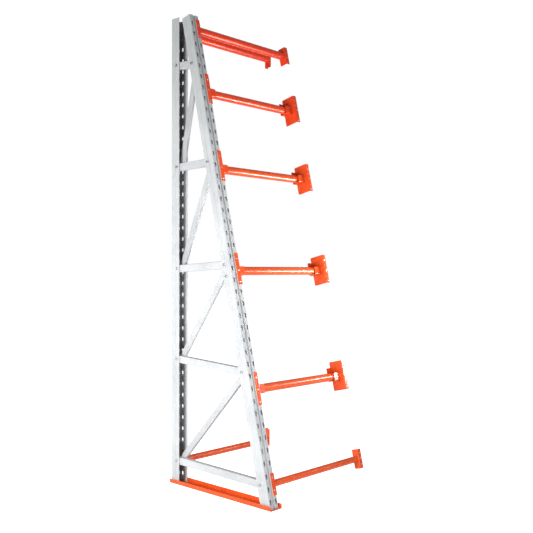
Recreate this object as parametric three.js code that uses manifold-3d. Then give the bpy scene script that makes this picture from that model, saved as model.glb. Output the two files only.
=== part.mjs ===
// Add-on bay of a tapered reel rack: one upright frame with a sloping front post and a vertical
// rear post, tie beams that reach to the next frame, and spool axles lying in open saddle brackets.
// Units are millimetres. +X runs along the bay, +Y to the rear, +Z up.
// The origin is on the floor, under the middle of the upright frame.

import * as THREE from "three";
import { mergeVertices } from "three/addons/utils/BufferGeometryUtils.js";
import Module from "manifold-3d";

const wasm = await Module();
wasm.setup();

// Bay and frame
const BAY_PITCH = 915; // from this frame's middle to the next frame's
const GAP = 0.3; // clearance between pieces that touch
const FRONT_FACE_Y = -448; // the front post's face, where it meets the floor
const REAR_FACE_Y = 455; // the rear post's outer face
const LEAN = THREE.MathUtils.degToRad(13.15); // the front post leans back by this angle

// Base channel
const BASE_LENGTH = 920;
const BASE_WIDTH = 100;
const BASE_HEIGHT = 28;
const BASE_SHEET = 4;

// Post section
const POST_WIDTH = 76;
const POST_DEPTH = 76;
const POST_SHEET = 2.5;
const WEB_GROOVE = { half: 9, floorHalf: 5, depth: 6 };
const SIDE_GROOVE = { centre: 42, half: 6, floorHalf: 2, depth: 2.5 };
const REAR_POST_TOP = 3098;
const FRONT_POST_LENGTH = 3180;

// Perforation: teardrop slots in the web and a row of slots in one side wall
const SLOT_PITCH = 75;
const SLOT_X = 23;
const SLOT_TOP_RADIUS = 7;
const SLOT_FOOT_RADIUS = 4.6;
const SLOT_DROP = 20; // from the wide end's centre to the narrow end's
const FRONT_SLOTS = { first: 54.3, count: 42 };
const REAR_SLOTS = { first: 55, count: 41 };
const SIDE_SLOT = { inset: 28, width: 12, height: 24 };

// Braces and their bolts
const HORIZONTAL = { web: 48, flange: 32.5, x: -32.7 };
const DIAGONAL = { web: 42, flange: 20, x: 0.2 };
const BRACE_SHEET = 2;
const BRACE_END = 20; // length past the bolt
const BOLT_INSET = 53; // from the post's face
const FRONT_BOLTS = [2854, 2179, 1504, 829, 154]; // along the sloping post
const REAR_BOLTS = [2779, 2104, 1429, 829, 154];
const SPARE_BOLT = 1429; // on the front post, with nothing under its nut
const BOLT_RADIUS = 5;
const BOLT_HOLE_RADIUS = 6;
const HEAD_RADIUS = 9.8;
const HEAD_HEIGHT = 6.5;
const NUT_HEIGHT = 8;
const THREAD_END = 3;
const BITE = 1; // how far solids run into each other before they are joined

// Connector plates
const PLATE = 4;
const STRIP_EDGE = 10; // from the post's middle to the strip's free edge
const SADDLE_STRIP = { top: 34, foot: 18 }; // past the top and the bottom stud
const STUD_RADIUS = 4;
const STUD_HEAD_RADIUS = 6.5;
const STUD_HEAD = 4;
const RIVET_HEAD = 2;
const PIN_HOLE_RADIUS = 4.5;

// Saddle brackets and axles
const BRACKET_DEPTH = 104;
const AXLE_RADIUS = 27;
const AXLE_WALL = 3;
const AXLE_INSET = 57; // behind the post's face
const AXLE_RISE = 6; // above the bracket's middle stud
const AXLE_END = 3; // from the axle's end to the side plate
const SADDLE = { play: 2, seat: 0.5, frontLength: 68, rearLength: 60, frontRise: 23, rearRise: 63 };
const AXLE_SLOTS = [36, 29, 20, 10]; // slot of each bracket's top stud, counted from the floor

// Ties
const TIE_MARGIN = 1; // from the tube to the edges of its end plates
const TIE_WALL = 2.5;
const TOP_FRONT_TIE = { radius: 27, slot: 41, rise: 18, strip: { top: 41, foot: 14 } };
const BOTTOM_FRONT_TIE = { radius: 21, slot: 2, rise: -2, strip: { top: 25, foot: 30 } };
const TOP_REAR_TIE = { radius: 27, slot: 40, rise: 12, strip: { top: 41, foot: 14 } };
const BOTTOM_REAR_TIE = { radius: 21, slot: 2, rise: -6, strip: { top: 41, foot: 14 } };

const orange = paint(0xe2552b, 0.4);
const grey = paint(0xc6cacd, 0.45);
const zinc = new THREE.MeshStandardMaterial({ color: 0xb4b8bc, roughness: 0.35, metalness: 0.9 });

function paint(color, roughness) {
  return new THREE.MeshStandardMaterial({ color, roughness, metalness: 0.1 });
}

// ---- solids ----

function solid(geometry) {
  const bare = geometry.clone();
  bare.deleteAttribute("normal");
  bare.deleteAttribute("uv");
  const merged = mergeVertices(bare, 1e-4);
  const mesh = new wasm.Mesh({
    numProp: 3,
    vertProperties: new Float32Array(merged.attributes.position.array),
    triVerts: new Uint32Array(merged.index.array),
  });
  return new wasm.Manifold(mesh);
}

function piece(name, shape, material) {
  const { vertProperties, triVerts } = shape.getMesh();
  const geometry = new THREE.BufferGeometry();
  geometry.setAttribute("position", new THREE.BufferAttribute(vertProperties, 3));
  geometry.setIndex(new THREE.BufferAttribute(triVerts, 1));
  geometry.computeVertexNormals();
  const mesh = new THREE.Mesh(geometry, material);
  mesh.name = name;
  return mesh;
}

function join(shapes) {
  return shapes.reduce((whole, shape) => whole.add(shape));
}

// x0 and x1 can come in either order.
function box(x0, x1, y0, y1, z0, z1) {
  const geometry = new THREE.BoxGeometry(Math.abs(x1 - x0), y1 - y0, z1 - z0);
  geometry.translate((x0 + x1) / 2, (y0 + y1) / 2, (z0 + z1) / 2);
  return solid(geometry);
}

function prism(outline, length) {
  const shape = outline instanceof THREE.Shape ? outline : new THREE.Shape(outline);
  return new THREE.ExtrudeGeometry(shape, { depth: length, bevelEnabled: false });
}

// A round bar along X between two ends.
function barX(radius, x0, x1, y, z, sides) {
  const geometry = new THREE.CylinderGeometry(radius, radius, Math.abs(x1 - x0), sides);
  geometry.rotateZ(Math.PI / 2);
  geometry.translate((x0 + x1) / 2, y, z);
  return solid(geometry);
}

// A round bar along Y between two depths.
function barY(radius, x, y0, y1, z, sides) {
  const geometry = new THREE.CylinderGeometry(radius, radius, y1 - y0, sides);
  geometry.translate(x, (y0 + y1) / 2, z);
  return solid(geometry);
}

// A round tube along X.
function tubeX(radius, wall, x0, x1, y, z) {
  const ring = new THREE.Shape().absarc(0, 0, radius, 0, 2 * Math.PI);
  ring.holes.push(new THREE.Path().absarc(0, 0, radius - wall, 0, 2 * Math.PI, true));
  const options = { depth: Math.abs(x1 - x0), bevelEnabled: false, curveSegments: 9 };
  const geometry = new THREE.ExtrudeGeometry(ring, options);
  geometry.rotateY(Math.PI / 2);
  geometry.translate(Math.min(x0, x1), y, z);
  return solid(geometry);
}

// The closed outline of a sheet of even thickness bent along a path.
function sheetOutline(path, thickness) {
  const points = path.map(([x, y]) => new THREE.Vector2(x, y));
  const normals = points.slice(1).map((point, i) => {
    const along = point.clone().sub(points[i]).normalize();
    return new THREE.Vector2(-along.y, along.x);
  });
  const side = (sign) =>
    points.map((point, i) => {
      const before = normals[Math.max(i - 1, 0)];
      const after = normals[Math.min(i, normals.length - 1)];
      const middle = before.clone().add(after).normalize();
      const reach = (sign * thickness) / 2 / middle.dot(after);
      return point.clone().addScaledVector(middle, reach);
    });
  return [...side(1), ...side(-1).reverse()];
}

// ---- posts ----
// A post's own frame: x across, y from its face towards its open side, z along it.

function postOutline() {
  const half = POST_SHEET / 2;
  const wall = POST_WIDTH / 2 - half;
  const { centre, half: rim, floorHalf, depth } = SIDE_GROOVE;
  const right = [
    [wall, POST_DEPTH],
    [wall, centre + rim],
    [wall - depth, centre + floorHalf],
    [wall - depth, centre - floorHalf],
    [wall, centre - rim],
    [wall, half],
    [WEB_GROOVE.half, half],
    [WEB_GROOVE.floorHalf, half + WEB_GROOVE.depth],
  ];
  const left = right.map(([x, y]) => [-x, y]).reverse();
  return sheetOutline([...right, ...left], POST_SHEET);
}

function teardrop() {
  const points = [];
  for (let i = 0; i <= 3; i += 1) {
    const angle = (Math.PI * i) / 3;
    const x = SLOT_TOP_RADIUS * Math.cos(angle);
    points.push(new THREE.Vector2(x, SLOT_TOP_RADIUS * Math.sin(angle)));
  }
  const foot = -SLOT_DROP - SLOT_FOOT_RADIUS;
  const corners = [-SLOT_FOOT_RADIUS, SLOT_FOOT_RADIUS].map((x) => new THREE.Vector2(x, foot));
  return [...points, ...corners];
}

function webSlot(x, z) {
  const geometry = prism(teardrop(), 3 * POST_SHEET);
  geometry.rotateX(Math.PI / 2);
  geometry.translate(x, 2 * POST_SHEET, z);
  return solid(geometry);
}

function sideSlot(side, z) {
  const { inset, width, height } = SIDE_SLOT;
  const x = (side * POST_WIDTH) / 2;
  const reach = 2 * POST_SHEET;
  const [low, high] = [z - height / 2, z + height / 2];
  return box(x - reach, x + reach, inset - width / 2, inset + width / 2, low, high);
}

function boltHole(side, z) {
  const x = (side * POST_WIDTH) / 2;
  return barX(BOLT_HOLE_RADIUS, x - 4 * POST_SHEET, x + 4 * POST_SHEET, BOLT_INSET, z, 8);
}

// slotSide and boltSide are +1 or -1: the wall that has the slots, and the wall the bolts go through.
function post(z0, z1, slots, bolts, slotSide, boltSide) {
  const body = prism(postOutline(), z1 - z0);
  body.translate(0, 0, z0);
  const cuts = bolts.map((z) => boltHole(boltSide, z));
  for (let i = 0; i < slots.count; i += 1) {
    const z = slots.first + i * SLOT_PITCH;
    cuts.push(webSlot(SLOT_X, z), webSlot(-SLOT_X, z), sideSlot(slotSide, z));
  }
  return solid(body).subtract(join(cuts));
}

// ---- connectors ----
// hand is +1 for a plate at the bay's near end and -1 at its far end; x is the post's middle.

function studHeights(topStud, count) {
  return Array.from({ length: count }, (_, i) => topStud - i * SLOT_PITCH);
}

function angleIron(x, hand, topStud, count, depth, strip) {
  const heights = studHeights(topStud, count);
  const low = heights[count - 1] - strip.foot;
  const high = topStud + strip.top;
  const corner = x + hand * (POST_WIDTH / 2 + GAP);
  const edge = x + hand * STRIP_EDGE;
  const face = box(edge, corner + hand * PLATE, -GAP - PLATE, -GAP, low, high);
  const leg = box(corner, corner + hand * PLATE, -GAP - PLATE, depth, low, high);
  const studs = heights.map((z) => stud(x + hand * SLOT_X, z));
  const middle = topStud - SLOT_PITCH / 2;
  const pinHole = barY(PIN_HOLE_RADIUS, x + hand * SLOT_X, -3 * PLATE, 0, middle, 8);
  return join([face, leg]).subtract(pinHole).add(join(studs));
}

// A rivet stud: dome in front of the strip, neck through the slot, head behind the post's web.
function stud(x, z) {
  const head = POST_SHEET + 2 * GAP;
  const dome = barY(STUD_HEAD_RADIUS, x, -GAP - PLATE - RIVET_HEAD, -GAP - PLATE + BITE, z, 6);
  const neck = barY(STUD_RADIUS, x, -GAP - PLATE, head + BITE, z, 6);
  return join([dome, neck, barY(STUD_HEAD_RADIUS, x, head, head + STUD_HEAD, z, 6)]);
}

function saddleBracket(x, hand, topStud) {
  const axle = topStud - SLOT_PITCH + AXLE_RISE;
  const start = x + hand * (POST_WIDTH / 2 + GAP + PLATE / 2);
  const inner = x + hand * (POST_WIDTH / 2 + GAP + PLATE);
  const half = AXLE_RADIUS + SADDLE.play;
  const floor = axle - AXLE_RADIUS - SADDLE.seat;
  const front = AXLE_INSET - half;
  const rear = AXLE_INSET + half;
  const frontEnd = inner + hand * SADDLE.frontLength;
  const rearEnd = inner + hand * SADDLE.rearLength;
  return join([
    angleIron(x, hand, topStud, 3, BRACKET_DEPTH, SADDLE_STRIP),
    box(start, frontEnd, front - PLATE, rear + PLATE, floor - PLATE, floor),
    box(start, frontEnd, front - PLATE, front, floor - PLATE, axle + SADDLE.frontRise),
    box(start, rearEnd, rear, rear + PLATE, floor - PLATE, axle + SADDLE.rearRise),
  ]);
}

// ---- braces and bolts, in the rack's frame ----

function frontPoint(along) {
  const y = FRONT_FACE_Y + along * Math.sin(LEAN) + BOLT_INSET * Math.cos(LEAN);
  const z = along * Math.cos(LEAN) - BOLT_INSET * Math.sin(LEAN);
  return new THREE.Vector2(y, z);
}

function rearPoint(height) {
  return new THREE.Vector2(REAR_FACE_Y - BOLT_INSET, height);
}

function brace({ web, flange, x }, from, to) {
  const inset = BRACE_SHEET / 2;
  const edge = web / 2 - inset;
  const path = [
    [x + flange, -edge],
    [x + inset, -edge],
    [x + inset, edge],
    [x + flange, edge],
  ];
  const run = to.clone().sub(from);
  const geometry = prism(sheetOutline(path, BRACE_SHEET), run.length() + 2 * BRACE_END);
  geometry.translate(0, 0, -BRACE_END);
  geometry.rotateX(Math.atan2(-run.x, run.y));
  geometry.translate(0, from.x, from.y);
  const [x0, x1] = [x - BITE, x + BRACE_SHEET + BITE];
  const holes = [from, to].map((at) => barX(BOLT_HOLE_RADIUS, x0, x1, at.x, at.y, 8));
  return solid(geometry).subtract(join(holes));
}

// side is +1 or -1 for the wall under the head; reach is the x of the sheet's face under the nut.
function bolt(side, reach, z) {
  const wall = (side * POST_WIDTH) / 2;
  const out = wall + side * GAP;
  const tip = reach - side * (NUT_HEIGHT + THREAD_END);
  const head = barX(HEAD_RADIUS, out, out + side * HEAD_HEIGHT, BOLT_INSET, z, 6);
  return head.add(barX(BOLT_RADIUS, out + side * BITE, tip, BOLT_INSET, z, 8));
}

function nut(side, reach, z) {
  const face = reach - side * GAP;
  const back = face - side * NUT_HEIGHT;
  const body = barX(HEAD_RADIUS, face, back, BOLT_INSET, z, 6);
  return body.subtract(
    barX(BOLT_HOLE_RADIUS, face + side * BITE, back - side * BITE, BOLT_INSET, z, 8),
  );
}

// ---- the rack ----

const rack = new THREE.Group();
const front = new THREE.Group();
front.position.y = FRONT_FACE_Y;
front.rotation.x = -LEAN;
const rear = new THREE.Group();
rear.position.y = REAR_FACE_Y;
rear.rotation.z = Math.PI;
rack.add(front, rear);

function addBase() {
  const half = BASE_SHEET / 2;
  const wall = BASE_WIDTH / 2 - half;
  const path = [
    [-wall, BASE_HEIGHT],
    [-wall, half],
    [wall, half],
    [wall, BASE_HEIGHT],
  ];
  const geometry = prism(sheetOutline(path, BASE_SHEET), BASE_LENGTH);
  geometry.rotateX(Math.PI / 2);
  geometry.translate(0, BASE_LENGTH / 2, 0);
  rack.add(piece("base_channel", solid(geometry), orange));
}

function addPosts() {
  const foot = BASE_SHEET + GAP;
  const upright = post(foot, REAR_POST_TOP, REAR_SLOTS, REAR_BOLTS, -1, 1);
  rear.add(piece("rear_post", upright, grey));
  const floor = new THREE.BoxGeometry(2 * BASE_WIDTH, BASE_LENGTH, BASE_WIDTH);
  floor.translate(0, 0, foot - BASE_WIDTH / 2);
  front.updateMatrix();
  floor.applyMatrix4(front.matrix.clone().invert());
  const holes = [...FRONT_BOLTS, SPARE_BOLT];
  const long = post(-BASE_WIDTH / 4, FRONT_POST_LENGTH, FRONT_SLOTS, holes, 1, -1);
  front.add(piece("front_post", long.subtract(solid(floor)), grey));
}

function addBraces() {
  const fronts = FRONT_BOLTS.map(frontPoint);
  const rears = REAR_BOLTS.map(rearPoint);
  fronts.forEach((at, i) => {
    const level = brace(HORIZONTAL, at, rears[i]);
    rack.add(piece(`horizontal_brace_${i + 1}`, level, grey));
  });
  fronts.slice(0, -1).forEach((at, i) => {
    const slope = brace(DIAGONAL, at, rears[i + 1]);
    rack.add(piece(`diagonal_brace_${i + 1}`, slope, grey));
  });
}

// A bolt that holds a horizontal alone is short; one that also holds a diagonal reaches its web.
function addBolts(group, place, side, heights, alone) {
  heights.forEach((z, i) => {
    const web = i === alone ? HORIZONTAL.x : DIAGONAL.x;
    const reach = -side * (web + BRACE_SHEET);
    group.add(piece(`${place}_bolt_${i + 1}`, bolt(side, reach, z), zinc));
    group.add(piece(`${place}_nut_${i + 1}`, nut(side, reach, z), zinc));
  });
}

function addSpareBolt() {
  const reach = POST_SHEET + SIDE_GROOVE.depth - POST_WIDTH / 2;
  front.add(piece("spare_bolt", bolt(-1, reach, SPARE_BOLT), zinc));
  front.add(piece("spare_nut", nut(-1, reach, SPARE_BOLT), zinc));
}

function addAxle(level) {
  const slot = FRONT_SLOTS.first + AXLE_SLOTS[level] * SLOT_PITCH;
  const topStud = slot - SLOT_DROP;
  const along = topStud - SLOT_PITCH + AXLE_RISE;
  const inner = POST_WIDTH / 2 + GAP + PLATE + AXLE_END;
  const axle = tubeX(AXLE_RADIUS, AXLE_WALL, inner, BAY_PITCH - inner, AXLE_INSET, along);
  const name = level + 1;
  front.add(piece(`saddle_bracket_near_${name}`, saddleBracket(0, 1, topStud), orange));
  front.add(piece(`saddle_bracket_far_${name}`, saddleBracket(BAY_PITCH, -1, topStud), orange));
  front.add(piece(`axle_${name}`, axle, orange));
}

// way is +1 where the group's x runs along the bay and -1 where it runs against it.
function addTie(group, name, way, slots, { radius, slot, rise, strip }) {
  const topStud = slots.first + slot * SLOT_PITCH - SLOT_DROP;
  const along = topStud - SLOT_PITCH / 2 + rise;
  const inset = radius + TIE_MARGIN;
  const depth = inset + radius + TIE_MARGIN;
  const near = angleIron(0, way, topStud, 2, depth, strip);
  const far = angleIron(way * BAY_PITCH, -way, topStud, 2, depth, strip);
  const inner = POST_WIDTH / 2 + 2 * GAP + PLATE;
  const tube = tubeX(radius, TIE_WALL, way * inner, way * (BAY_PITCH - inner), inset, along);
  group.add(piece(`${name}_connector_near`, near, orange));
  group.add(piece(`${name}_connector_far`, far, orange));
  group.add(piece(name, tube, orange));
}

addBase();
addPosts();
addBraces();
addBolts(front, "front", -1, FRONT_BOLTS, FRONT_BOLTS.length - 1);
addBolts(rear, "rear", 1, REAR_BOLTS, 0);
addSpareBolt();
AXLE_SLOTS.forEach((_, level) => addAxle(level));
addTie(front, "top_front_tie", 1, FRONT_SLOTS, TOP_FRONT_TIE);
addTie(front, "bottom_front_tie", 1, FRONT_SLOTS, BOTTOM_FRONT_TIE);
addTie(rear, "top_rear_tie", -1, REAR_SLOTS, TOP_REAR_TIE);
addTie(rear, "bottom_rear_tie", -1, REAR_SLOTS, BOTTOM_REAR_TIE);

export default rack;
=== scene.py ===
import math

import bmesh
import bpy
from mathutils import Matrix, Vector


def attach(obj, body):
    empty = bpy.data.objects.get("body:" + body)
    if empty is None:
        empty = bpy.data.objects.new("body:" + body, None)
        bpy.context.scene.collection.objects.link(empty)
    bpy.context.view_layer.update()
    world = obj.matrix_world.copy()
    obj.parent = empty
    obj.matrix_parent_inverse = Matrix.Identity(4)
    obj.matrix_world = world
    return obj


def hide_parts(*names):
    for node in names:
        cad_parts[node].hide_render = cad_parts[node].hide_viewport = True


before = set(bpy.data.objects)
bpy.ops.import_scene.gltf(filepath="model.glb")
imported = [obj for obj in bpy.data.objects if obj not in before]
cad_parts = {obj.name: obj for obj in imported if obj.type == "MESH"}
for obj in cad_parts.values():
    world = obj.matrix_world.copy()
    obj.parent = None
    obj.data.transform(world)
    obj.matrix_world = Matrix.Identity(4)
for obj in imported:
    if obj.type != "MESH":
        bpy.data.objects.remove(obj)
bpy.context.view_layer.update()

# Dimensions are in millimetres. The pieces' sizes and places are the CAD part's, and the bends,
# rounded corners and chamfers are added here. +X runs along the bay, +Y to the rear, +Z up. The
# origin is on the floor, under the middle of the upright frame.

# Bay and frame
BAY_PITCH = 915  # from this frame's middle to the next frame's
GAP = 0.3  # clearance between pieces that touch
FRONT_FACE_Y = -448  # the front post's face, where it meets the floor
REAR_FACE_Y = 455  # the rear post's outer face
LEAN = math.radians(13.15)  # the front post leans back by this angle

# Base channel
BASE_LENGTH, BASE_WIDTH, BASE_HEIGHT, BASE_SHEET = 920, 100, 28, 4
BASE_BEND, BASE_CORNER = 5, 8

# Post section: an open column with a groove down its face and down each side wall
POST_WIDTH, POST_DEPTH, POST_SHEET = 76, 76, 2.5
WEB_GROOVE = {"half": 9, "floor_half": 5, "depth": 6}
SIDE_GROOVE = {"start": 37, "floor_start": 40, "floor_end": 44, "end": 48, "depth": 2.5}
POST_BENDS = {"side_groove": [3, 3, 3, 1.5], "edge": 3.2, "web_groove": [2.5, 2.5]}
REAR_POST_TOP, FRONT_POST_LENGTH = 3098, 3180

# Slots: two columns of teardrops in the face and a row of obrounds in one side wall
SLOT_PITCH, SLOT_X = 75, 23
SLOT_TOP_RADIUS, SLOT_FOOT_RADIUS = 7, 4.6
SLOT_DROP = 20  # from the wide end's centre to the narrow end's
FRONT_SLOTS = {"first": 54.3, "count": 42}
REAR_SLOTS = {"first": 55, "count": 41}
SIDE_SLOT = {"inset": 28, "radius": 6, "reach": 6}

# Braces and their bolts
HORIZONTAL = {"web": 48, "flange": 32.5, "x": -32.7}
DIAGONAL = {"web": 42, "flange": 20, "x": 0.2}
BRACE_SHEET, BRACE_BEND, BRACE_CORNER = 2, 3, 7
BRACE_END = 20  # length past the bolt
BOLT_INSET = 53  # from the post's face
FRONT_BOLTS = [2854, 2179, 1504, 829, 154]  # along the sloping post
REAR_BOLTS = [2779, 2104, 1429, 829, 154]
SPARE_BOLT = 1429  # on the front post, with no brace under its nut
SPARE_PLAY = 2.5  # room between the wall and the spare bolt's nut, past the groove
BOLT_RADIUS, PLAIN_SHANK, THREAD_START = 5, 6, 8
THREAD_PITCH, THREAD_DEPTH = 1.5, 0.55
TIP_LENGTH, TIP_EASE = 1, 1.2  # the smooth tip past the threads
SHANK_BURIED = 0.2  # how far the shank starts inside the head
HEX_APOTHEM, HEAD_HEIGHT, NUT_HEIGHT = 8.5, 6.5, 8
HEX_WIDE = HEX_APOTHEM / math.cos(math.pi / 6)
HEX_SOFT, HEX_FACE = HEX_APOTHEM * 1.05, HEX_APOTHEM * 0.9
HEX_EASE, HEX_HALF_EASE = 1.1, 0.5  # heights of the chamfer's two steps
NUT_PLAY = 0.2  # between the nut's bore and the thread
THREAD_END = 3  # length past the nut

# Connector plates and their rivet studs
PLATE = 4
STRIP_EDGE = 10  # from the post's middle to the strip's free edge
STRIP_CORNER, LEG_CORNER, PLATE_BEND = 3.5, 9, 4
SADDLE_STRIP = {"top": 34, "foot": 18}  # past the top and the bottom stud
TIE_STRIP = {"top": 41, "foot": 14}
LOW_STRIP = {"top": 25, "foot": 30}
STUD_RADIUS, STUD_HEAD_RADIUS, STUD_HEAD = 4, 6.5, 4
RIVET_DOME = [(0, -2), (2.2, -1.9), (4.2, -1.45), (5.7, -0.75), (6.5, 0.1)]
PIN_HOLE_RADIUS = 4.5

# Saddle brackets and axles
BRACKET_DEPTH = 104
AXLE_RADIUS, AXLE_WALL = 27, 3
AXLE_INSET = 57  # behind the post's face
AXLE_RISE = 6  # above the bracket's middle stud
AXLE_END = 3  # from the axle's end to the side plate
SADDLE_PLAY, SADDLE_SEAT = 2, 0.5
SADDLE_BEND, SADDLE_CORNER = 5, 7
SADDLE_FRONT_LENGTH, SADDLE_REAR_LENGTH = 68, 60
SADDLE_FRONT_RISE, SADDLE_REAR_RISE = 23, 63
SADDLE_ROWS = [0, 12, 40]  # the grid's rows out from the side plate, before the rounded end
SADDLE_WELD = {"radius": 2, "proud": 0.6, "low_end": 6, "high_end": 4}
AXLE_SLOTS = [36, 29, 20, 10]  # slot of each bracket's top stud, counted from the floor

# Ties
TIE_MARGIN = 1  # from the tube to the edges of its end plates
TIE_WALL = 2.5
TIE_WELD = {"radius": 1.5, "out": 0.5, "along": 1.2, "steps": 140}
TIES = {
    "top_front_tie": {"at": "front", "radius": 27, "slot": 41, "rise": 18, "strip": TIE_STRIP},
    "bottom_front_tie": {"at": "front", "radius": 21, "slot": 2, "rise": -2, "strip": LOW_STRIP},
    "top_rear_tie": {"at": "rear", "radius": 27, "slot": 40, "rise": 12, "strip": TIE_STRIP},
    "bottom_rear_tie": {"at": "rear", "radius": 21, "slot": 2, "rise": -6, "strip": TIE_STRIP},
}

# Frames of the rack, of each post and of the swept sections
MM = Matrix.Scale(0.001, 4)
RACK = Matrix()
FRONT = Matrix.Translation((0, FRONT_FACE_Y, 0)) @ Matrix.Rotation(-LEAN, 4, "X")
REAR = Matrix.Translation((0, REAR_FACE_Y, 0)) @ Matrix.Rotation(math.pi, 4, "Z")
ALONG_X = Matrix.Rotation(math.pi / 2, 4, "Y")
ALONG_Y = Matrix.Rotation(-math.pi / 2, 4, "X")
SECTION_YZ = Matrix(((0, 0, 1, 0), (1, 0, 0, 0), (0, 1, 0, 0), (0, 0, 0, 1)))
SECTION_XZ = Matrix(((1, 0, 0, 0), (0, 0, 1, 0), (0, 1, 0, 0), (0, 0, 0, 1)))


# ---- mesh building ----

SHARP_ANGLE = math.radians(40)  # edges sharper than this are bevelled
BEAD_SWELL, BEAD_TIP = 0.16, 0.35  # height of a bead's ripples and size of its ends
PARALLEL, SLACK = 1e-9, 1e-6


class Solid:
    """Collects closed shells in millimetres, in one of the rack's frames, and makes a piece of them."""

    def __init__(self, place):
        self.place = MM @ place
        self.verts = []
        self.faces = []
        self.bare = []  # per face: 1 where the metal is not painted

    def add(self, verts, faces, place=Matrix(), bare=0):
        base = len(self.verts)
        whole = self.place @ place
        self.verts += [whole @ Vector(v) for v in verts]
        self.faces += [[base + i for i in face] for face in faces]
        self.bare += [bare] * len(faces)

    def piece(self, node, material, bevel=0.4, body="rack_frame"):
        mesh = bpy.data.meshes.new(node + "_mesh")
        mesh.from_pydata(self.verts, [], self.faces)
        mesh.polygons.foreach_set("material_index", self.bare)
        grid = bmesh.new()
        grid.from_mesh(mesh)
        bmesh.ops.recalc_face_normals(grid, faces=grid.faces)
        for face in grid.faces:
            face.smooth = True
        grid.to_mesh(mesh)
        grid.free()
        mesh.materials.append(material["shader"])
        if any(self.bare):
            mesh.materials.append(ZINC["shader"])
        obj = bpy.data.objects.new(node + "_finished", mesh)
        bpy.context.scene.collection.objects.link(obj)
        if bevel:
            edges = obj.modifiers.new("edges", "BEVEL")
            edges.width = bevel / 1000
            edges.segments = 2
            edges.limit_method = "ANGLE"
            edges.angle_limit = SHARP_ANGLE
            edges.use_clamp_overlap = True
        normals = obj.modifiers.new("normals", "WEIGHTED_NORMAL")
        normals.keep_sharp = True
        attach(obj, body)
        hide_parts(node)


def rounded(path, radii, steps=4):
    """The path with an arc at each inner corner; a radius of 0 keeps the point."""
    points = [Vector(path[0])]
    for before, at, after, radius in zip(path, path[1:], path[2:], radii):
        at = Vector(at)
        if radius == 0:
            points.append(at)
            continue
        a = (Vector(before) - at).normalized()
        b = (Vector(after) - at).normalized()
        half = a.angle(b) / 2
        centre = at + (a + b).normalized() * radius / math.sin(half)
        start = at + a * radius / math.tan(half) - centre
        end = at + b * radius / math.tan(half) - centre
        turn = start.angle(end)
        for k in range(steps + 1):
            t = k / steps
            blend = math.sin((1 - t) * turn) * start + math.sin(t * turn) * end
            points.append(centre + blend / math.sin(turn))
    points.append(Vector(path[-1]))
    return points


def normals_of(points):
    """The mitred normal at each point of an open 2D path."""
    sides = []
    for a, b in zip(points, points[1:]):
        along = (b - a).normalized()
        sides.append(Vector((-along.y, along.x)))
    normals = []
    for i in range(len(points)):
        before, after = sides[max(i - 1, 0)], sides[min(i, len(sides) - 1)]
        middle = (before + after).normalized()
        normals.append(middle / middle.dot(after))
    return normals


def ray_to(outline, centre, towards):
    """Where a ray from centre meets a closed outline."""
    d = towards - centre
    best = None
    for a, b in zip(outline, outline[1:] + outline[:1]):
        e = b - a
        cross = d.x * e.y - d.y * e.x
        if abs(cross) < PARALLEL:
            continue
        w = a - centre
        t = (w.x * e.y - w.y * e.x) / cross
        u = (w.x * d.y - w.y * d.x) / cross
        if t > 0 and -SLACK <= u <= 1 + SLACK and (best is None or t < best):
            best = t
    return centre + d * best


def sheet(solid, points, rows, thickness, place=Matrix(), holes=(), reshape=None):
    """A bent sheet with even thickness: a section path swept through rows, with cut-outs.

    A hole is (first column, last column, first row, last row, outline): the outline is in
    (distance along the section from the first column, height) and lies in one flat.
    """
    nodes = []
    for point, normal in zip(points, normals_of(points)):
        for z in rows:
            p = Vector((point.x, point.y, z))
            nodes.append((reshape(p) if reshape else p, normal))
    count = len(rows)
    taken = set()
    faces = []
    for c0, c1, r0, r1, outline in holes:
        taken |= {(c, r) for c in range(c0, c1) for r in range(r0, r1)}
        ring = [(c, r0) for c in range(c0, c1)] + [(c1, r) for r in range(r0, r1)]
        ring += [(c, r1) for c in range(c1, c0, -1)] + [(c0, r) for r in range(r1, r0, -1)]
        faces += cut_out(nodes, points, rows, ring, outline)
    for c in range(len(points) - 1):
        for r in range(count - 1):
            if (c, r) not in taken:
                at = c * count + r
                faces.append([at, at + count, at + count + 1, at + 1])
    thicken(solid, nodes, faces, thickness, place)


def cut_out(nodes, points, rows, ring, outline):
    """Faces between a ring of grid nodes and a hole's outline, whose nodes are added."""
    first = ring[0][0]
    start = points[first]
    along = (points[first + 1] - start).normalized()
    normal = Vector((-along.y, along.x))
    low = Vector((min(p.x for p in outline), min(p.y for p in outline)))
    high = Vector((max(p.x for p in outline), max(p.y for p in outline)))
    centre = (low + high) / 2
    flat = [Vector(((points[c] - start).dot(along), rows[r])) for c, r in ring]
    spots = []
    for a, b in zip(flat, flat[1:] + flat[:1]):
        spots += [a, (a + b) / 2]
    base = len(nodes)
    for spot in spots:
        hit = ray_to(outline, centre, spot)
        at = start + along * hit.x
        nodes.append((Vector((at.x, at.y, hit.y)), normal))
    size = len(ring)
    faces = []
    for k, (c, r) in enumerate(ring):
        c2, r2 = ring[(k + 1) % size]
        a, b = c * len(rows) + r, c2 * len(rows) + r2
        h = base + 2 * k
        faces.append([a, b, base + (2 * k + 2) % (2 * size), h + 1, h])
    return faces


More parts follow.
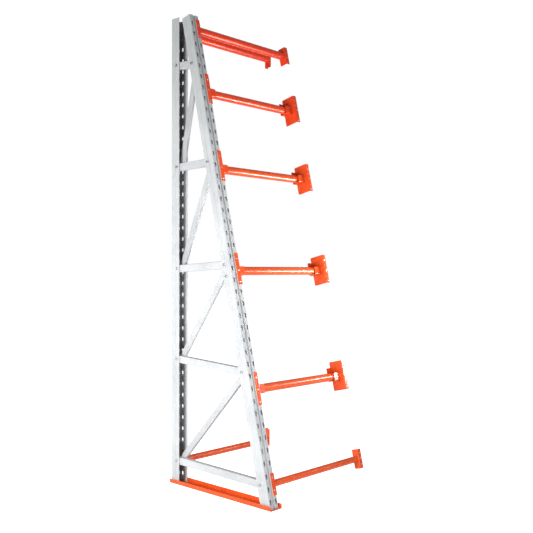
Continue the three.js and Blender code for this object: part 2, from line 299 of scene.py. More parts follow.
def thicken(solid, nodes, faces, thickness, place):
    """A closed shell from faces on a middle surface."""
    outer = [p + Vector((n.x, n.y, 0)) * thickness / 2 for p, n in nodes]
    inner = [p - Vector((n.x, n.y, 0)) * thickness / 2 for p, n in nodes]
    count = len(nodes)
    edges = {(a, b) for f in faces for a, b in zip(f, f[1:] + f[:1])}
    shell = [list(f) for f in faces]
    shell += [[i + count for i in reversed(f)] for f in faces]
    for a, b in sorted(edges):
        if (b, a) not in edges:
            shell.append([b, a, a + count, b + count])
    used = sorted({i for f in shell for i in f})
    index = {old: new for new, old in enumerate(used)}
    everything = outer + inner
    shell = [[index[i] for i in f] for f in shell]
    solid.add([everything[i] for i in used], shell, place)


def circle(radius, sides):
    """Points of a circle about the origin."""
    angles = [2 * math.pi * k / sides for k in range(sides)]
    return [(radius * math.cos(angle), radius * math.sin(angle)) for angle in angles]


def band(start, end, sides):
    """Four-sided faces between two rings, given the first vertex of each."""
    faces = []
    for k in range(sides):
        m = (k + 1) % sides
        faces.append([start + k, start + m, end + m, end + k])
    return faces


def caps(count, sides):
    """The end faces of a stack of rings."""
    return [list(range(sides)), [(count - 1) * sides + k for k in range(sides)]]


def lathe(solid, profile, place, sides=32, ring=False, bare=0):
    """A turned shell about local Z. A ring's profile is a loop; others start and end on the axis."""
    verts = []
    loops = []
    for radius, height in profile:
        if radius == 0:
            loops.append([len(verts)])
            verts.append((0, 0, height))
            continue
        loops.append([len(verts) + k for k in range(sides)])
        verts += [(x, y, height) for x, y in circle(radius, sides)]
    pairs = list(zip(loops, loops[1:]))
    if ring:
        pairs.append((loops[-1], loops[0]))
    faces = []
    for a, b in pairs:
        for k in range(sides):
            m = (k + 1) % sides
            corners = [a[k % len(a)], a[m % len(a)], b[m % len(b)], b[k % len(b)]]
            faces.append(list(dict.fromkeys(corners)))
    solid.add(verts, faces, place, bare)


def bead(solid, path, radius, closed=False, sides=8, ripple=3.2):
    """A weld bead: a rounded rope with overlapping ripples along a path."""
    points = [Vector(p) for p in path]
    count = len(points)
    verts = []
    travelled = 0
    for i, point in enumerate(points):
        before = points[i - 1] if i or closed else point
        after = points[(i + 1) % count] if i + 1 < count or closed else point
        tangent = (after - before).normalized()
        side = tangent.orthogonal().normalized()
        up = tangent.cross(side)
        travelled += (point - points[i - 1]).length if i else 0
        swell = 1 + BEAD_SWELL * abs(math.sin(math.pi * travelled / ripple))
        size = radius * swell * (BEAD_TIP if not closed and i in (0, count - 1) else 1)
        verts += [point + side * x + up * y for x, y in circle(size, sides)]
    faces = []
    for i in range(count if closed else count - 1):
        faces += band(i * sides, (i + 1) % count * sides, sides)
    if not closed:
        faces += caps(count, sides)
    solid.add(verts, faces)


def line(a, b, step=0.9):
    """Evenly spaced points from a to b."""
    a, b = Vector(a), Vector(b)
    count = max(2, round((b - a).length / step))
    return [a.lerp(b, i / count) for i in range(count + 1)]


def spread(a, b, count, margin):
    """Evenly spaced numbers from a to b, with a margin left clear at both ends."""
    a, b = a + margin, b - margin
    return [a + (b - a) * i / count for i in range(count + 1)]


def thirds(middle, half):
    """The edges of a block's three even parts, from middle - half to middle + half."""
    return [middle - half, middle - half / 3, middle + half / 3, middle + half]


# ---- materials ----

PAINT_WEAR, ZINC_WEAR = 0.55, 0.5  # how much of a worn edge's shade shows
PAINT_EDGE, ZINC_EDGE = 0.0012, 0.0008  # how far from an edge the wear reaches, in metres

def shader(name):
    material = bpy.data.materials.new(name)
    material.use_nodes = True
    tree = material.node_tree
    coords = tree.nodes.new("ShaderNodeTexCoord")
    return material, tree, tree.nodes["Principled BSDF"], coords.outputs["Object"]


def noise(tree, coords, scale, detail, stretch=(1, 1, 1)):
    """A noise texture's value. scale is in grains per metre, and stretch lengthens them by axis."""
    mapping = tree.nodes.new("ShaderNodeMapping")
    mapping.inputs["Scale"].default_value = [scale / s for s in stretch]
    tree.links.new(coords, mapping.inputs["Vector"])
    texture = tree.nodes.new("ShaderNodeTexNoise")
    texture.inputs["Scale"].default_value = 1.0
    texture.inputs["Detail"].default_value = detail
    tree.links.new(mapping.outputs["Vector"], texture.inputs["Vector"])
    return texture.outputs["Fac"]


def ramp(tree, value, low, high, out_low=0.0, out_high=1.0):
    """Maps a value's range from low to high onto out_low to out_high, and clamps it there."""
    node = tree.nodes.new("ShaderNodeMapRange")
    node.inputs["From Min"].default_value = low
    node.inputs["From Max"].default_value = high
    node.inputs["To Min"].default_value = out_low
    node.inputs["To Max"].default_value = out_high
    tree.links.new(value, node.inputs["Value"])
    return node.outputs["Result"]


def mix(tree, fac, a, b):
    """Mixes two colours; a and b are colours or sockets."""
    node = tree.nodes.new("ShaderNodeMix")
    node.data_type = "RGBA"
    tree.links.new(fac, node.inputs["Factor"])
    for socket, value in ((node.inputs[6], a), (node.inputs[7], b)):
        if isinstance(value, (tuple, list)):
            socket.default_value = (*value, 1.0)
        else:
            tree.links.new(value, socket)
    return node.outputs[2]


def maths(tree, kind, a, b):
    """A calculation on two values; a and b are numbers or sockets."""
    node = tree.nodes.new("ShaderNodeMath")
    node.operation = kind
    for socket, value in zip(node.inputs, (a, b)):
        if isinstance(value, (int, float)):
            socket.default_value = value
        else:
            tree.links.new(value, socket)
    return node.outputs[0]


def height_of(tree, coords):
    split = tree.nodes.new("ShaderNodeSeparateXYZ")
    tree.links.new(coords, split.inputs[0])
    return split.outputs["Z"]


def edge_mask(tree, radius):
    """High where a rounded corner's normal leaves the face's own normal."""
    soft = tree.nodes.new("ShaderNodeBevel")
    soft.samples = 3
    soft.inputs["Radius"].default_value = radius
    hard = tree.nodes.new("ShaderNodeNewGeometry")
    dot = tree.nodes.new("ShaderNodeVectorMath")
    dot.operation = "DOT_PRODUCT"
    tree.links.new(soft.outputs["Normal"], dot.inputs[0])
    tree.links.new(hard.outputs["Normal"], dot.inputs[1])
    return ramp(tree, dot.outputs["Value"], low=0.97, high=0.75)


def open_mask(tree, reach, low, high):
    """1 on open faces, falling to 0 deep inside a channel or a corner, where the painted hollow shade
    shows.
    """
    node = tree.nodes.new("ShaderNodeAmbientOcclusion")
    node.samples = 6
    node.only_local = True
    node.inputs["Distance"].default_value = reach
    return ramp(tree, node.outputs["AO"], low, high)


def bump(tree, principled, layers):
    """Stacks bump layers of (height, strength, distance in metres) on a shader."""
    last = None
    for height, strength, distance in layers:
        node = tree.nodes.new("ShaderNodeBump")
        node.inputs["Strength"].default_value = strength
        node.inputs["Distance"].default_value = distance
        tree.links.new(height, node.inputs["Height"])
        if last:
            tree.links.new(last, node.inputs["Normal"])
        last = node.outputs["Normal"]
    tree.links.new(last, principled.inputs["Normal"])


def powder_coat(name, slot, base, deep, pale, worn, painted_top_shade, painted_hollow_shade, roughness, streak, shine):
    """Satin powder coat: orange peel, colour drift, mill streaks along Z, worn edges, and painted
    shade.

    The painted top shade is the deeper colour painted towards the top of the rack, where the
    light falls off. The painted hollow shade holds the painted shade of hollows at the floor and at
    the top of the rack, how far in metres they look for their other side, and how open they are
    where the shade is full and where it is gone.
    streak is how strong the mill streaks are, and shine is the strength of the reflections.
    """
    material, tree, principled, coords = shader(name)
    drift = noise(tree, coords, scale=5, detail=3)
    colour = mix(tree, ramp(tree, drift, low=0.35, high=0.65), deep, base)
    cloud = noise(tree, coords, scale=38, detail=4)
    colour = mix(tree, ramp(tree, cloud, low=0.5, high=0.8, out_high=0.35), colour, pale)
    lines = noise(tree, coords, scale=240, detail=2, stretch=(1, 1, 60))
    colour = mix(tree, ramp(tree, lines, low=0.45, high=0.75, out_high=streak), colour, deep)
    chips = ramp(tree, noise(tree, coords, scale=420, detail=5), low=0.46, high=0.62)
    wear = maths(tree, "MULTIPLY", edge_mask(tree, PAINT_EDGE), chips)
    colour = mix(tree, maths(tree, "MULTIPLY", wear, PAINT_WEAR), colour, worn)
    height = height_of(tree, coords)
    # Painted shade: the colour deepens towards the top of the rack, where the light falls off.
    colour = mix(tree, ramp(tree, height, low=1.6, high=3.1, out_high=0.8), colour, painted_top_shade)
    # Painted shade in channels and corners, lighter near the floor and darkest at the top of the rack.
    shade = mix(tree, ramp(tree, height, low=0.0, high=2.9), painted_hollow_shade["floor"], painted_hollow_shade["top"])
    is_open = open_mask(tree, painted_hollow_shade["reach"], low=painted_hollow_shade["full"], high=painted_hollow_shade["gone"])
    colour = mix(tree, is_open, shade, colour)
    tree.links.new(colour, principled.inputs["Base Color"])
    dull, duller = roughness - 0.05, roughness + 0.07
    rough = ramp(tree, cloud, low=0.3, high=0.7, out_low=dull, out_high=duller)
    tree.links.new(rough, principled.inputs["Roughness"])
    principled.inputs["Specular IOR Level"].default_value = shine
    principled.inputs["Coat Weight"].default_value = shine * 0.4
    principled.inputs["Coat Roughness"].default_value = 0.18
    peel = noise(tree, coords, scale=520, detail=2)
    bump(tree, principled, [(peel, 0.2, 0.0002), (cloud, 0.18, 0.0005)])
    return {"shader": material, "slot": slot}


def zinc_plate(name, slot, dark, bright, worn):
    """Bright zinc: brushed grain, blotches and paler edges."""
    material, tree, principled, coords = shader(name)
    blotch = noise(tree, coords, scale=160, detail=4)
    colour = mix(tree, ramp(tree, blotch, low=0.35, high=0.7), dark, bright)
    wear = edge_mask(tree, ZINC_EDGE)
    colour = mix(tree, maths(tree, "MULTIPLY", wear, ZINC_WEAR), colour, worn)
    tree.links.new(colour, principled.inputs["Base Color"])
    principled.inputs["Metallic"].default_value = 0.9
    rough = ramp(tree, blotch, low=0.3, high=0.7, out_low=0.28, out_high=0.48)
    tree.links.new(rough, principled.inputs["Roughness"])
    grain = noise(tree, coords, scale=900, detail=3, stretch=(1, 4, 1))
    bump(tree, principled, [(grain, 0.3, 0.00015)])
    return {"shader": material, "slot": slot}


ORANGE = powder_coat(
    "orange_powder_coat",
    "orange_paint",
    base=(0.82, 0.104, 0.017),
    deep=(0.75, 0.075, 0.011),
    pale=(0.88, 0.15, 0.030),
    worn=(0.48, 0.10, 0.05),
    # painted shade: deeper colour towards the top of the rack, where the light falls off
    painted_top_shade=(0.76, 0.036, 0.012),
    # painted shade in hollows: dark red near the floor, darker at the top of the rack
    painted_hollow_shade={
        "floor": (0.45, 0.03, 0.008), "top": (0.20, 0.005, 0.003),
        "reach": 0.03, "full": 0.08, "gone": 0.42,
    },
    roughness=0.26,
    streak=0.12,
    shine=0.34,
)
GREY = powder_coat(
    "grey_powder_coat",
    "grey_paint",
    base=(0.53, 0.545, 0.55),
    deep=(0.44, 0.455, 0.47),
    pale=(0.60, 0.615, 0.615),
    worn=(0.30, 0.31, 0.32),
    # painted shade: darker grey towards the top of the rack, where the light falls off
    painted_top_shade=(0.38, 0.40, 0.40),
    # painted shade in hollows: dark grey near the floor, almost black at the top of the rack
    painted_hollow_shade={
        "floor": (0.17, 0.17, 0.17), "top": (0.003, 0.003, 0.004),
        "reach": 0.09, "full": 0.27, "gone": 0.58,
    },
    roughness=0.50,
    streak=0.30,
    shine=0.14,
)
ZINC = zinc_plate(
    "zinc_plate", "zinc", dark=(0.42, 0.43, 0.45), bright=(0.64, 0.65, 0.65), worn=(0.9, 0.9, 0.88)
)


# ---- posts ----

SLOT_BLOCK, SIDE_BLOCK = 9, 7.5  # half the width of the grid's block round a slot
BLOCK_COLUMNS = 3
ROW_STEPS = [-27, -16, -8, 0, 8, 16, 25]  # the grid's rows, from a slot's wide end
TEARDROP_ROWS, SIDE_ROWS = (0, 5), (1, 5)  # which of these rows bound each slot


def arc(x, z, radius, start, steps):
    """Half a circle, anticlockwise from an angle."""
    angles = [start + math.pi * k / steps for k in range(steps + 1)]
    return [Vector((x + radius * math.cos(a), z + radius * math.sin(a))) for a in angles]


def teardrop(x, z):
    """Outline of a slot: a wide round end above a narrow one."""
    foot = arc(x, z - SLOT_DROP, SLOT_FOOT_RADIUS, math.pi, 16)
    return arc(x, z, SLOT_TOP_RADIUS, 0, 24) + foot


def obround(x, z, radius, reach):
    return arc(x, z + reach, radius, 0, 16) + arc(x, z - reach, radius, math.pi, 16)


def post_section():
    """The middle of the sheet, from one open edge round the web to the other."""
    wall = POST_WIDTH / 2 - POST_SHEET / 2
    face = POST_SHEET / 2
    groove = wall - SIDE_GROOVE["depth"]
    half = [(wall, POST_DEPTH), (wall, SIDE_GROOVE["end"]), (groove, SIDE_GROOVE["floor_end"])]
    half += [(groove, SIDE_GROOVE["floor_start"]), (wall, SIDE_GROOVE["start"])]
    half += [(wall, y) for y in thirds(SIDE_SLOT["inset"], -SIDE_BLOCK)]
    half += [(wall, face)]
    half += [(x, face) for x in thirds(SLOT_X, -SLOT_BLOCK)]
    half += [(WEB_GROOVE["half"], face), (WEB_GROOVE["floor_half"], WEB_GROOVE["depth"] + face)]
    flat = [0, 0, 0, 0]
    radii = POST_BENDS["side_groove"] + flat + [POST_BENDS["edge"]] + flat + POST_BENDS["web_groove"]
    path = half + [(-x, y) for x, y in reversed(half)]
    return rounded(path, radii + list(reversed(radii)), steps=3)


def column_at(points, x, y):
    """The index of the section's point nearest to a place."""
    return min(range(len(points)), key=lambda i: (points[i] - Vector((x, y))).length)


def post(node, place, low, high, slots, slot_side, foot=None):
    """A post with its rows of slots. slot_side is the side wall that has slots, and foot is the
    height of the lower end at each depth where it isn't cut square."""
    points = post_section()
    starts = [slots["first"] + i * SLOT_PITCH for i in range(slots["count"])]
    rows = [low] + [start + step for start in starts for step in ROW_STEPS] + [high]
    wall = POST_WIDTH / 2 - POST_SHEET / 2
    face = POST_SHEET / 2
    teardrop_columns = []
    for x in (SLOT_X, -SLOT_X):
        ends = (x + SLOT_BLOCK, x - SLOT_BLOCK)
        teardrop_columns.append([column_at(points, end, face) for end in ends])
    ends = [SIDE_SLOT["inset"] + slot_side * SIDE_BLOCK, SIDE_SLOT["inset"] - slot_side * SIDE_BLOCK]
    side_columns = [column_at(points, slot_side * wall, end) for end in ends]
    holes = []
    for i, start in enumerate(starts):
        base = 1 + i * len(ROW_STEPS)
        for columns in teardrop_columns:
            bounds = [*columns, *(base + row for row in TEARDROP_ROWS)]
            holes.append((*bounds, teardrop(SLOT_BLOCK, start)))
        bounds = [*side_columns, *(base + row for row in SIDE_ROWS)]
        outline = obround(SIDE_BLOCK, start, SIDE_SLOT["radius"], SIDE_SLOT["reach"])
        holes.append((*bounds, outline))

    def cut(p):
        return Vector((p.x, p.y, foot(p.y))) if p.z == low else p

    solid = Solid(place)
    sheet(solid, points, rows, POST_SHEET, holes=holes, reshape=cut if foot else None)
    solid.piece(node, GREY, bevel=0.35)


def sloped_foot(y):
    """Height along the front post at which depth y meets the base's floor."""
    return (BASE_SHEET + GAP + y * math.sin(LEAN)) / math.cos(LEAN)


post("rear_post", REAR, BASE_SHEET + GAP, REAR_POST_TOP, REAR_SLOTS, -1)
post("front_post", FRONT, 0, FRONT_POST_LENGTH, FRONT_SLOTS, 1, sloped_foot)


# ---- base ----

CORNER_STEPS = [0, 0.03, 0.12, 0.27, 0.48, 0.72, 1]  # rows in a rounded corner, in radii
LEAST_REACH = 0.1  # keeps the corner's last row from shrinking to nothing


def corner_rows(low, high, radius, middle=()):
    """Row heights with extra ones near both ends, for rounded corners."""
    ends = [low + radius * s for s in CORNER_STEPS] + [high - radius * s for s in CORNER_STEPS]
    return sorted(set(ends) | set(middle))


def corner_reach(z, low, high, radius):
    """How much of a corner's width is left at height z: 1 in the middle, less in the corner."""
    depth = max(0, min(z - low, high - z))
    if depth >= radius:
        return 1.0
    return max(LEAST_REACH, math.sqrt(1 - (1 - depth / radius) ** 2))


def base_channel():
    wall = BASE_WIDTH / 2 - BASE_SHEET / 2
    floor = BASE_SHEET / 2
    upper = BASE_HEIGHT - BASE_CORNER
    path = [(-wall, BASE_HEIGHT), (-wall, upper), (-wall, floor)]
    path += [(wall, floor), (wall, upper), (wall, BASE_HEIGHT)]
    end = BASE_LENGTH / 2

    def reshape(p):
        if p.y <= upper:
            return p
        reach = corner_reach(p.z, -end, end, BASE_CORNER)
        return Vector((p.x, upper + (p.y - upper) * reach, p.z))

    solid = Solid(RACK)
    points = rounded(path, [0, BASE_BEND, BASE_BEND, 0])
    rows = corner_rows(-end, end, BASE_CORNER, spread(-end, end, 16, margin=20))
    sheet(solid, points, rows, BASE_SHEET, SECTION_XZ, reshape=reshape)
    solid.piece("base_channel", ORANGE, bevel=0.5)


base_channel()


# ---- braces ----


def front_point(along):
    """The place of a bolt on the front post, from its distance up the post."""
    y = FRONT_FACE_Y + along * math.sin(LEAN) + BOLT_INSET * math.cos(LEAN)
    return Vector((0, y, along * math.cos(LEAN) - BOLT_INSET * math.sin(LEAN)))


def rear_point(height):
    return Vector((0, REAR_FACE_Y - BOLT_INSET, height))


def brace(node, kind, start, end):
    run = end - start
    turn = Matrix.Rotation(math.atan2(-run.y, run.z), 4, "X")
    place = Matrix.Translation(start) @ turn
    edge = kind["web"] / 2 - BRACE_SHEET / 2
    web = kind["x"] + BRACE_SHEET / 2
    reach = kind["x"] + kind["flange"]
    corner = reach - BRACE_CORNER
    path = [(reach, -edge), (corner, -edge), (web, -edge), (web, edge), (corner, edge), (reach, edge)]
    low, high = -BRACE_END, run.length + BRACE_END

    def reshape(p):
        if p.x <= corner:
            return p
        share = corner_reach(p.z, low, high, BRACE_CORNER)
        return Vector((corner + (p.x - corner) * share, p.y, p.z))

    solid = Solid(place)
    points = rounded(path, [0, BRACE_BEND, BRACE_BEND, 0])
    rows = corner_rows(low, high, BRACE_CORNER, spread(low, high, 10, margin=30))
    sheet(solid, points, rows, BRACE_SHEET, reshape=reshape)
    solid.piece(node, GREY, bevel=0.3)


FRONT_ENDS = [front_point(along) for along in FRONT_BOLTS]
REAR_ENDS = [rear_point(height) for height in REAR_BOLTS]
for number, (start, end) in enumerate(zip(FRONT_ENDS, REAR_ENDS), 1):
    brace(f"horizontal_brace_{number}", HORIZONTAL, start, end)
for number, (start, end) in enumerate(zip(FRONT_ENDS, REAR_ENDS[1:]), 1):
    brace(f"diagonal_brace_{number}", DIAGONAL, start, end)


# ---- bolts ----


def hexagon(solid, steps, place, bored=False):
    """A hexagonal body about local Z. Each step is a height and the radius that a cone leaves there.

    A bored body's first and last steps are the rims of its bore.
    """
    sides = 48
    verts = []
    for height, limit in steps:
        for k in range(sides):
            angle = 2 * math.pi * k / sides
            flat = (angle + math.pi / 6) % (math.pi / 3) - math.pi / 6
            radius = min(HEX_APOTHEM / math.cos(flat), limit)
            verts.append((radius * math.cos(angle), radius * math.sin(angle), height))
    count = len(steps)
    faces = []
    for r in range(count if bored else count - 1):
        faces += band(r * sides, (r + 1) % count * sides, sides)
    if not bored:
        faces += caps(count, sides)
    solid.add(verts, faces, place)


def threads(start, end):
    """Profile of thread crests and roots between two heights."""
    root = BOLT_RADIUS - THREAD_DEPTH
    profile = []
    count = int((end - start) / THREAD_PITCH)
    for k in range(count):
        z = start + k * THREAD_PITCH
        profile += [(root, z), (BOLT_RADIUS, z + THREAD_PITCH / 2)]
    return profile + [(root, start + count * THREAD_PITCH)]


def across_post(x, side, z):
    """The frame of a bolt or nut: local Z runs from x into the post from the side given."""
    turn = Matrix.Rotation(-side * math.pi / 2, 4, "Y")
    return Matrix.Translation((x, BOLT_INSET, z)) @ turn


def bolt(node, place, side, reach, z):
    """A hex bolt through the side wall; reach is where its nut bears."""
    out = side * POST_WIDTH / 2 + side * GAP
    tip = reach - side * (NUT_HEIGHT + THREAD_END)
    spot = across_post(out, side, z)
    length = abs(tip - out)
    solid = Solid(place)
    shank = [(0, -SHANK_BURIED), (BOLT_RADIUS, -SHANK_BURIED), (BOLT_RADIUS, PLAIN_SHANK)]
    shank += threads(THREAD_START, length - TIP_LENGTH)
    shank += [(BOLT_RADIUS - TIP_EASE, length), (0, length)]
    lathe(solid, shank, spot, sides=20)
    steps = [(0, HEX_WIDE), (HEX_EASE - HEAD_HEIGHT, HEX_WIDE)]
    steps += [(HEX_HALF_EASE - HEAD_HEIGHT, HEX_SOFT), (-HEAD_HEIGHT, HEX_FACE)]
    hexagon(solid, steps, spot)
    solid.piece(node, ZINC, bevel=0.15)


def nut(node, place, side, reach, z):
    bore = BOLT_RADIUS + NUT_PLAY
    lower = [(0, bore), (0, HEX_FACE), (HEX_HALF_EASE, HEX_SOFT), (HEX_EASE, HEX_WIDE)]
    upper = [(NUT_HEIGHT - height, radius) for height, radius in reversed(lower)]
    solid = Solid(place)
    hexagon(solid, lower + upper, across_post(reach - side * GAP, side, z), bored=True)
    solid.piece(node, ZINC, bevel=0.15)


def fasten(group, place, side, heights, alone):
    """Bolts and nuts of one post; alone is the index of the bolt that holds no diagonal."""
    for i, z in enumerate(heights):
        web = HORIZONTAL["x"] if i == alone else DIAGONAL["x"]
        reach = -side * (web + BRACE_SHEET)
        bolt(f"{group}_bolt_{i + 1}", place, side, reach, z)
        nut(f"{group}_nut_{i + 1}", place, side, reach, z)


fasten("front", FRONT, -1, FRONT_BOLTS, len(FRONT_BOLTS) - 1)
fasten("rear", REAR, 1, REAR_BOLTS, 0)
SPARE_REACH = POST_SHEET + SPARE_PLAY - POST_WIDTH / 2
bolt("spare_bolt", FRONT, -1, SPARE_REACH, SPARE_BOLT)
nut("spare_nut", FRONT, -1, SPARE_REACH, SPARE_BOLT)


# ---- connectors, brackets, axles and ties ----


def angle_iron(solid, top_stud, studs, depth, strip):
    """Angle plate with rivet studs, for the post's +X side; the solid's frame mirrors it."""
    heights = [top_stud - i * SLOT_PITCH for i in range(studs)]
    low, high = heights[-1] - strip["foot"], top_stud + strip["top"]
    leg = POST_WIDTH / 2 + GAP + PLATE / 2
    back = -GAP - PLATE / 2
    strip_inner = STRIP_EDGE + STRIP_CORNER
    leg_inner = depth - LEG_CORNER
    pin = top_stud - SLOT_PITCH / 2
    path = [(STRIP_EDGE, back), (strip_inner, back)]
    path += [(x, back) for x in thirds(SLOT_X, SLOT_BLOCK)]
    path += [(leg, back), (leg, depth / 2), (leg, leg_inner), (leg, depth)]
    points = rounded(path, [0, 0, 0, 0, 0, PLATE_BEND, 0, 0], steps=5)
    block = thirds(pin, SLOT_BLOCK)
    corners = corner_rows(low, high, STRIP_CORNER)
    rows = sorted(set(corner_rows(low, high, LEG_CORNER, block)) | set(corners))

    def reshape(p):
        if p.x < strip_inner and p.y == back:
            share = corner_reach(p.z, low, high, STRIP_CORNER)
            return Vector((strip_inner - (strip_inner - p.x) * share, p.y, p.z))
        if p.y > leg_inner:
            share = corner_reach(p.z, low, high, LEG_CORNER)
            return Vector((p.x, leg_inner + (p.y - leg_inner) * share, p.z))
        return p

    column = column_at(points, SLOT_X - SLOT_BLOCK, back)
    row = rows.index(block[0])
    bounds = [column, column + BLOCK_COLUMNS, row, row + BLOCK_COLUMNS]
    hole = (*bounds, obround(SLOT_BLOCK, pin, PIN_HOLE_RADIUS, 0))
    sheet(solid, points, rows, PLATE, holes=[hole], reshape=reshape)
    for z in heights:
        stud(solid, Matrix.Translation((SLOT_X, 0, z)) @ ALONG_Y)


def stud(solid, spot):
    """Rivet dome, neck and button head, along local Z from the plate's front."""
    face = -GAP - PLATE
    head = POST_SHEET + 2 * GAP
    rim, ease, eased = 0.4, 0.5, 0.7
    profile = [(radius, face + height) for radius, height in RIVET_DOME]
    profile += [(STUD_RADIUS, face + 0.3), (STUD_RADIUS, head)]
    profile += [(STUD_HEAD_RADIUS - rim, head), (STUD_HEAD_RADIUS, head + ease)]
    profile += [(STUD_HEAD_RADIUS, head + STUD_HEAD - eased)]
    profile += [(STUD_HEAD_RADIUS - eased, head + STUD_HEAD), (0, head + STUD_HEAD)]
    lathe(solid, profile, spot, sides=24, bare=1)


def cradle(solid, axle):
    """The open U saddle: front wall, floor and a higher rear wall, welded to the side plate."""
    half = AXLE_RADIUS + SADDLE_PLAY
    floor = axle - AXLE_RADIUS - SADDLE_SEAT - PLATE / 2
    front = AXLE_INSET - half - PLATE / 2
    rear = AXLE_INSET + half + PLATE / 2
    front_top, rear_top = axle + SADDLE_FRONT_RISE, axle + SADDLE_REAR_RISE
    start = POST_WIDTH / 2 + GAP + PLATE / 2
    inner = start + PLATE / 2
    end = inner + SADDLE_FRONT_LENGTH
    path = [(front, front_top), (front, front_top - SADDLE_CORNER), (front, floor)]
    path += [(rear, floor), (rear, rear_top - SADDLE_CORNER), (rear, rear_top)]
    points = rounded(path, [0, SADDLE_BEND, SADDLE_BEND, 0], steps=5)

    def reshape(p):
        share = (p.x - front) / (rear - front)
        shorter = 1 - SADDLE_REAR_LENGTH / SADDLE_FRONT_LENGTH
        z = max(start, inner + (p.z - inner) * (1 - share * shorter)) if p.z > start else start
        top = front_top if p.x < AXLE_INSET else rear_top
        corner = top - SADDLE_CORNER
        if p.y <= corner:
            return Vector((p.x, p.y, z))
        left = corner_reach(p.z, -math.inf, end, SADDLE_CORNER)
        return Vector((p.x, corner + (p.y - corner) * left, z))

    rows = [start] + [inner + row for row in SADDLE_ROWS]
    rows += [row for row in corner_rows(0, end, SADDLE_CORNER) if row > rows[-1]]
    sheet(solid, points, rows, PLATE, SECTION_YZ, reshape=reshape)
    outside = PLATE / 2 + SADDLE_WELD["proud"]
    x = inner + SADDLE_WELD["proud"]
    low, high = SADDLE_WELD["low_end"], SADDLE_WELD["high_end"]
    for y, top in ((front - outside, front_top), (rear + outside, rear_top)):
        bead(solid, line((x, y, floor + low), (x, y, top - high)), SADDLE_WELD["radius"])
    under = floor - outside
    bead(solid, line((x, front + low, under), (x, rear - low, under)), SADDLE_WELD["radius"])


def at_post(place, x, hand):
    """The frame of a plate at the post whose middle is at x; hand is +1 or -1."""
    return place @ Matrix.Translation((x, 0, 0)) @ Matrix.Diagonal((hand, 1, 1, 1))


def tube(solid, radius, wall, ends, y, z):
    """An open round tube along X with slightly eased rims."""
    low, high = sorted(ends)
    ease = 0.5
    inner = radius - wall
    profile = [(radius - ease, low), (radius, low + ease)]
    profile += [(radius, h) for h in spread(low, high, 12, margin=20)]
    profile += [(radius, high - ease), (radius - ease, high), (inner + ease, high)]
    profile += [(inner, high - ease), (inner, low + ease), (inner + ease, low)]
    lathe(solid, profile, Matrix.Translation((0, y, z)) @ ALONG_X, sides=72, ring=True)


def level(number, slot):
    """One axle and the two brackets that it lies in."""
    top_stud = FRONT_SLOTS["first"] + slot * SLOT_PITCH - SLOT_DROP
    along = top_stud - SLOT_PITCH + AXLE_RISE
    for name, x, hand in (("near", 0, 1), ("far", BAY_PITCH, -1)):
        solid = Solid(at_post(FRONT, x, hand))
        angle_iron(solid, top_stud, 3, BRACKET_DEPTH, SADDLE_STRIP)
        cradle(solid, along)
        solid.piece(f"saddle_bracket_{name}_{number}", ORANGE)
    end = POST_WIDTH / 2 + GAP + PLATE + AXLE_END
    solid = Solid(FRONT)
    tube(solid, AXLE_RADIUS, AXLE_WALL, (end, BAY_PITCH - end), AXLE_INSET, along)
    solid.piece(f"axle_{number}", ORANGE, bevel=0, body=f"axle_{number}")


def tie(name, at, radius, slot, rise, strip):
    """One tie with its weld beads and its two connectors, at the front or rear posts."""
    if at == "front":
        place, slots, way = FRONT, FRONT_SLOTS, 1
    else:
        place, slots, way = REAR, REAR_SLOTS, -1
    top_stud = slots["first"] + slot * SLOT_PITCH - SLOT_DROP
    along = top_stud - SLOT_PITCH / 2 + rise
    inset = radius + TIE_MARGIN
    for end, x, hand in (("near", 0, way), ("far", way * BAY_PITCH, -way)):
        solid = Solid(at_post(place, x, hand))
        angle_iron(solid, top_stud, 2, inset + radius + TIE_MARGIN, strip)
        solid.piece(f"{name}_connector_{end}", ORANGE)
    start = POST_WIDTH / 2 + 2 * GAP + PLATE
    solid = Solid(place)
    tube(solid, radius, TIE_WALL, (way * start, way * (BAY_PITCH - start)), inset, along)
    weld = start + TIE_WELD["along"]
    round_tie = circle(radius + TIE_WELD["out"], TIE_WELD["steps"])
    for x in (way * weld, way * (BAY_PITCH - weld)):
        ring = [(x, inset + y, along + z) for y, z in round_tie]
        bead(solid, ring, TIE_WELD["radius"], closed=True)
    solid.piece(name, ORANGE, bevel=0)


for number, slot in enumerate(AXLE_SLOTS, 1):
    level(number, slot)
for name, spec in TIES.items():
    tie(name, **spec)


# ---- stage, light and camera: metres and watts ----

FLOOR_SIDE, FLOOR_DROP = 40, 0.0005
CAMERA_PLACE = (-3.3485, -3.5373, 1.4171)
CAMERA_PITCH, CAMERA_TURN = math.radians(90.18), math.radians(-46.70)
CAMERA_LENS, CAMERA_SHIFT = 51.93, 0.0029


def pale_glow(name, colour, seen, glow):
    """A pale matt surface that glows: seen towards the camera, glow onto the object."""
    material, tree, principled, coords = shader(name)
    fine = noise(tree, coords, scale=3, detail=3)
    darker = [channel * 0.98 for channel in colour]
    tone = mix(tree, ramp(tree, fine, low=0.3, high=0.7), darker, colour)
    tree.links.new(tone, principled.inputs["Base Color"])
    principled.inputs["Roughness"].default_value = 0.9
    principled.inputs["Specular IOR Level"].default_value = 0.1
    principled.inputs["Emission Color"].default_value = (1, 1, 1, 1)
    rays = tree.nodes.new("ShaderNodeLightPath")
    strength = ramp(tree, rays.outputs["Is Camera Ray"], low=0, high=1, out_low=glow, out_high=seen)
    tree.links.new(strength, principled.inputs["Emission Strength"])
    return material


def pale_floor():
    mesh = bpy.data.meshes.new("floor_mesh")
    corners = [(-1, -1), (1, -1), (1, 1), (-1, 1)]
    grid = [(FLOOR_SIDE * x, FLOOR_SIDE * y, -FLOOR_DROP) for x, y in corners]
    mesh.from_pydata(grid, [], [[0, 1, 2, 3]])
    mesh.materials.append(pale_glow("pale_floor", (0.8, 0.8, 0.8), seen=1.0, glow=0.22))
    obj = bpy.data.objects.new("floor", mesh)
    bpy.context.scene.collection.objects.link(obj)


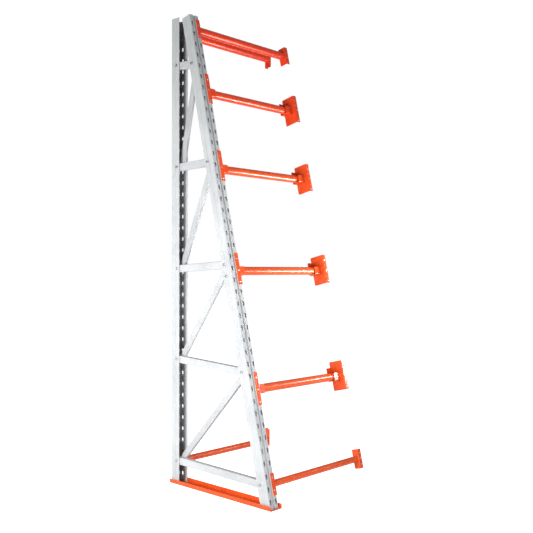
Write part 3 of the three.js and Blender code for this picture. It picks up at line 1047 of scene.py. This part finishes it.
def softbox(name, place, target, size, power, beam=180):
    """An area light; beam is the angle in degrees that its grid lets through."""
    data = bpy.data.lights.new(name, "AREA")
    data.shape = "RECTANGLE"
    data.size, data.size_y = size
    data.energy = power
    data.spread = math.radians(beam)
    obj = bpy.data.objects.new(name, data)
    obj.location = place
    obj.rotation_euler = (Vector(target) - Vector(place)).to_track_quat("-Z", "Y").to_euler()
    bpy.context.scene.collection.objects.link(obj)


def sky():
    """A studio that is white behind the object, dark at eye level and brighter overhead."""
    world = bpy.data.worlds.new("studio")
    bpy.context.scene.world = world
    world.use_nodes = True
    tree = world.node_tree
    background = tree.nodes["Background"]
    coords = tree.nodes.new("ShaderNodeTexCoord")
    height = height_of(tree, coords.outputs["Generated"])
    strength = ramp(tree, height, low=0.0, high=0.9, out_low=0.04, out_high=0.46)
    rays = tree.nodes.new("ShaderNodeLightPath")
    seen = maths(tree, "MAXIMUM", strength, rays.outputs["Is Camera Ray"])
    background.inputs["Color"].default_value = (1, 1, 1, 1)
    tree.links.new(seen, background.inputs["Strength"])


def camera():
    """The photograph's point of view, found by fitting the rack's slots and edges to it."""
    data = bpy.data.cameras.new("camera")
    data.lens = CAMERA_LENS
    data.shift_y = CAMERA_SHIFT
    data.clip_end = 200
    obj = bpy.data.objects.new("camera", data)
    obj.location = CAMERA_PLACE
    obj.rotation_euler = (CAMERA_PITCH, 0, CAMERA_TURN)
    bpy.context.scene.collection.objects.link(obj)
    bpy.context.scene.camera = obj


pale_floor()
sky()
softbox("left", (-3.3, -0.5, 1.2), target=(0, 0, 1.2), size=(0.8, 1.4), power=132)
softbox("right", (2.25, -1.2, 1.15), target=(0.4, 0, 1.6), size=(0.8, 0.5), power=19, beam=80)
softbox("front", (-0.3, -3.0, 0.9), target=(0, 0, 1.2), size=(1.0, 1.0), power=33)
softbox("back", (-0.9, 3.3, 1.0), target=(0, -0.3, 1.0), size=(1.0, 1.2), power=50)
camera()
bpy.context.scene.view_settings.view_transform = "Standard"
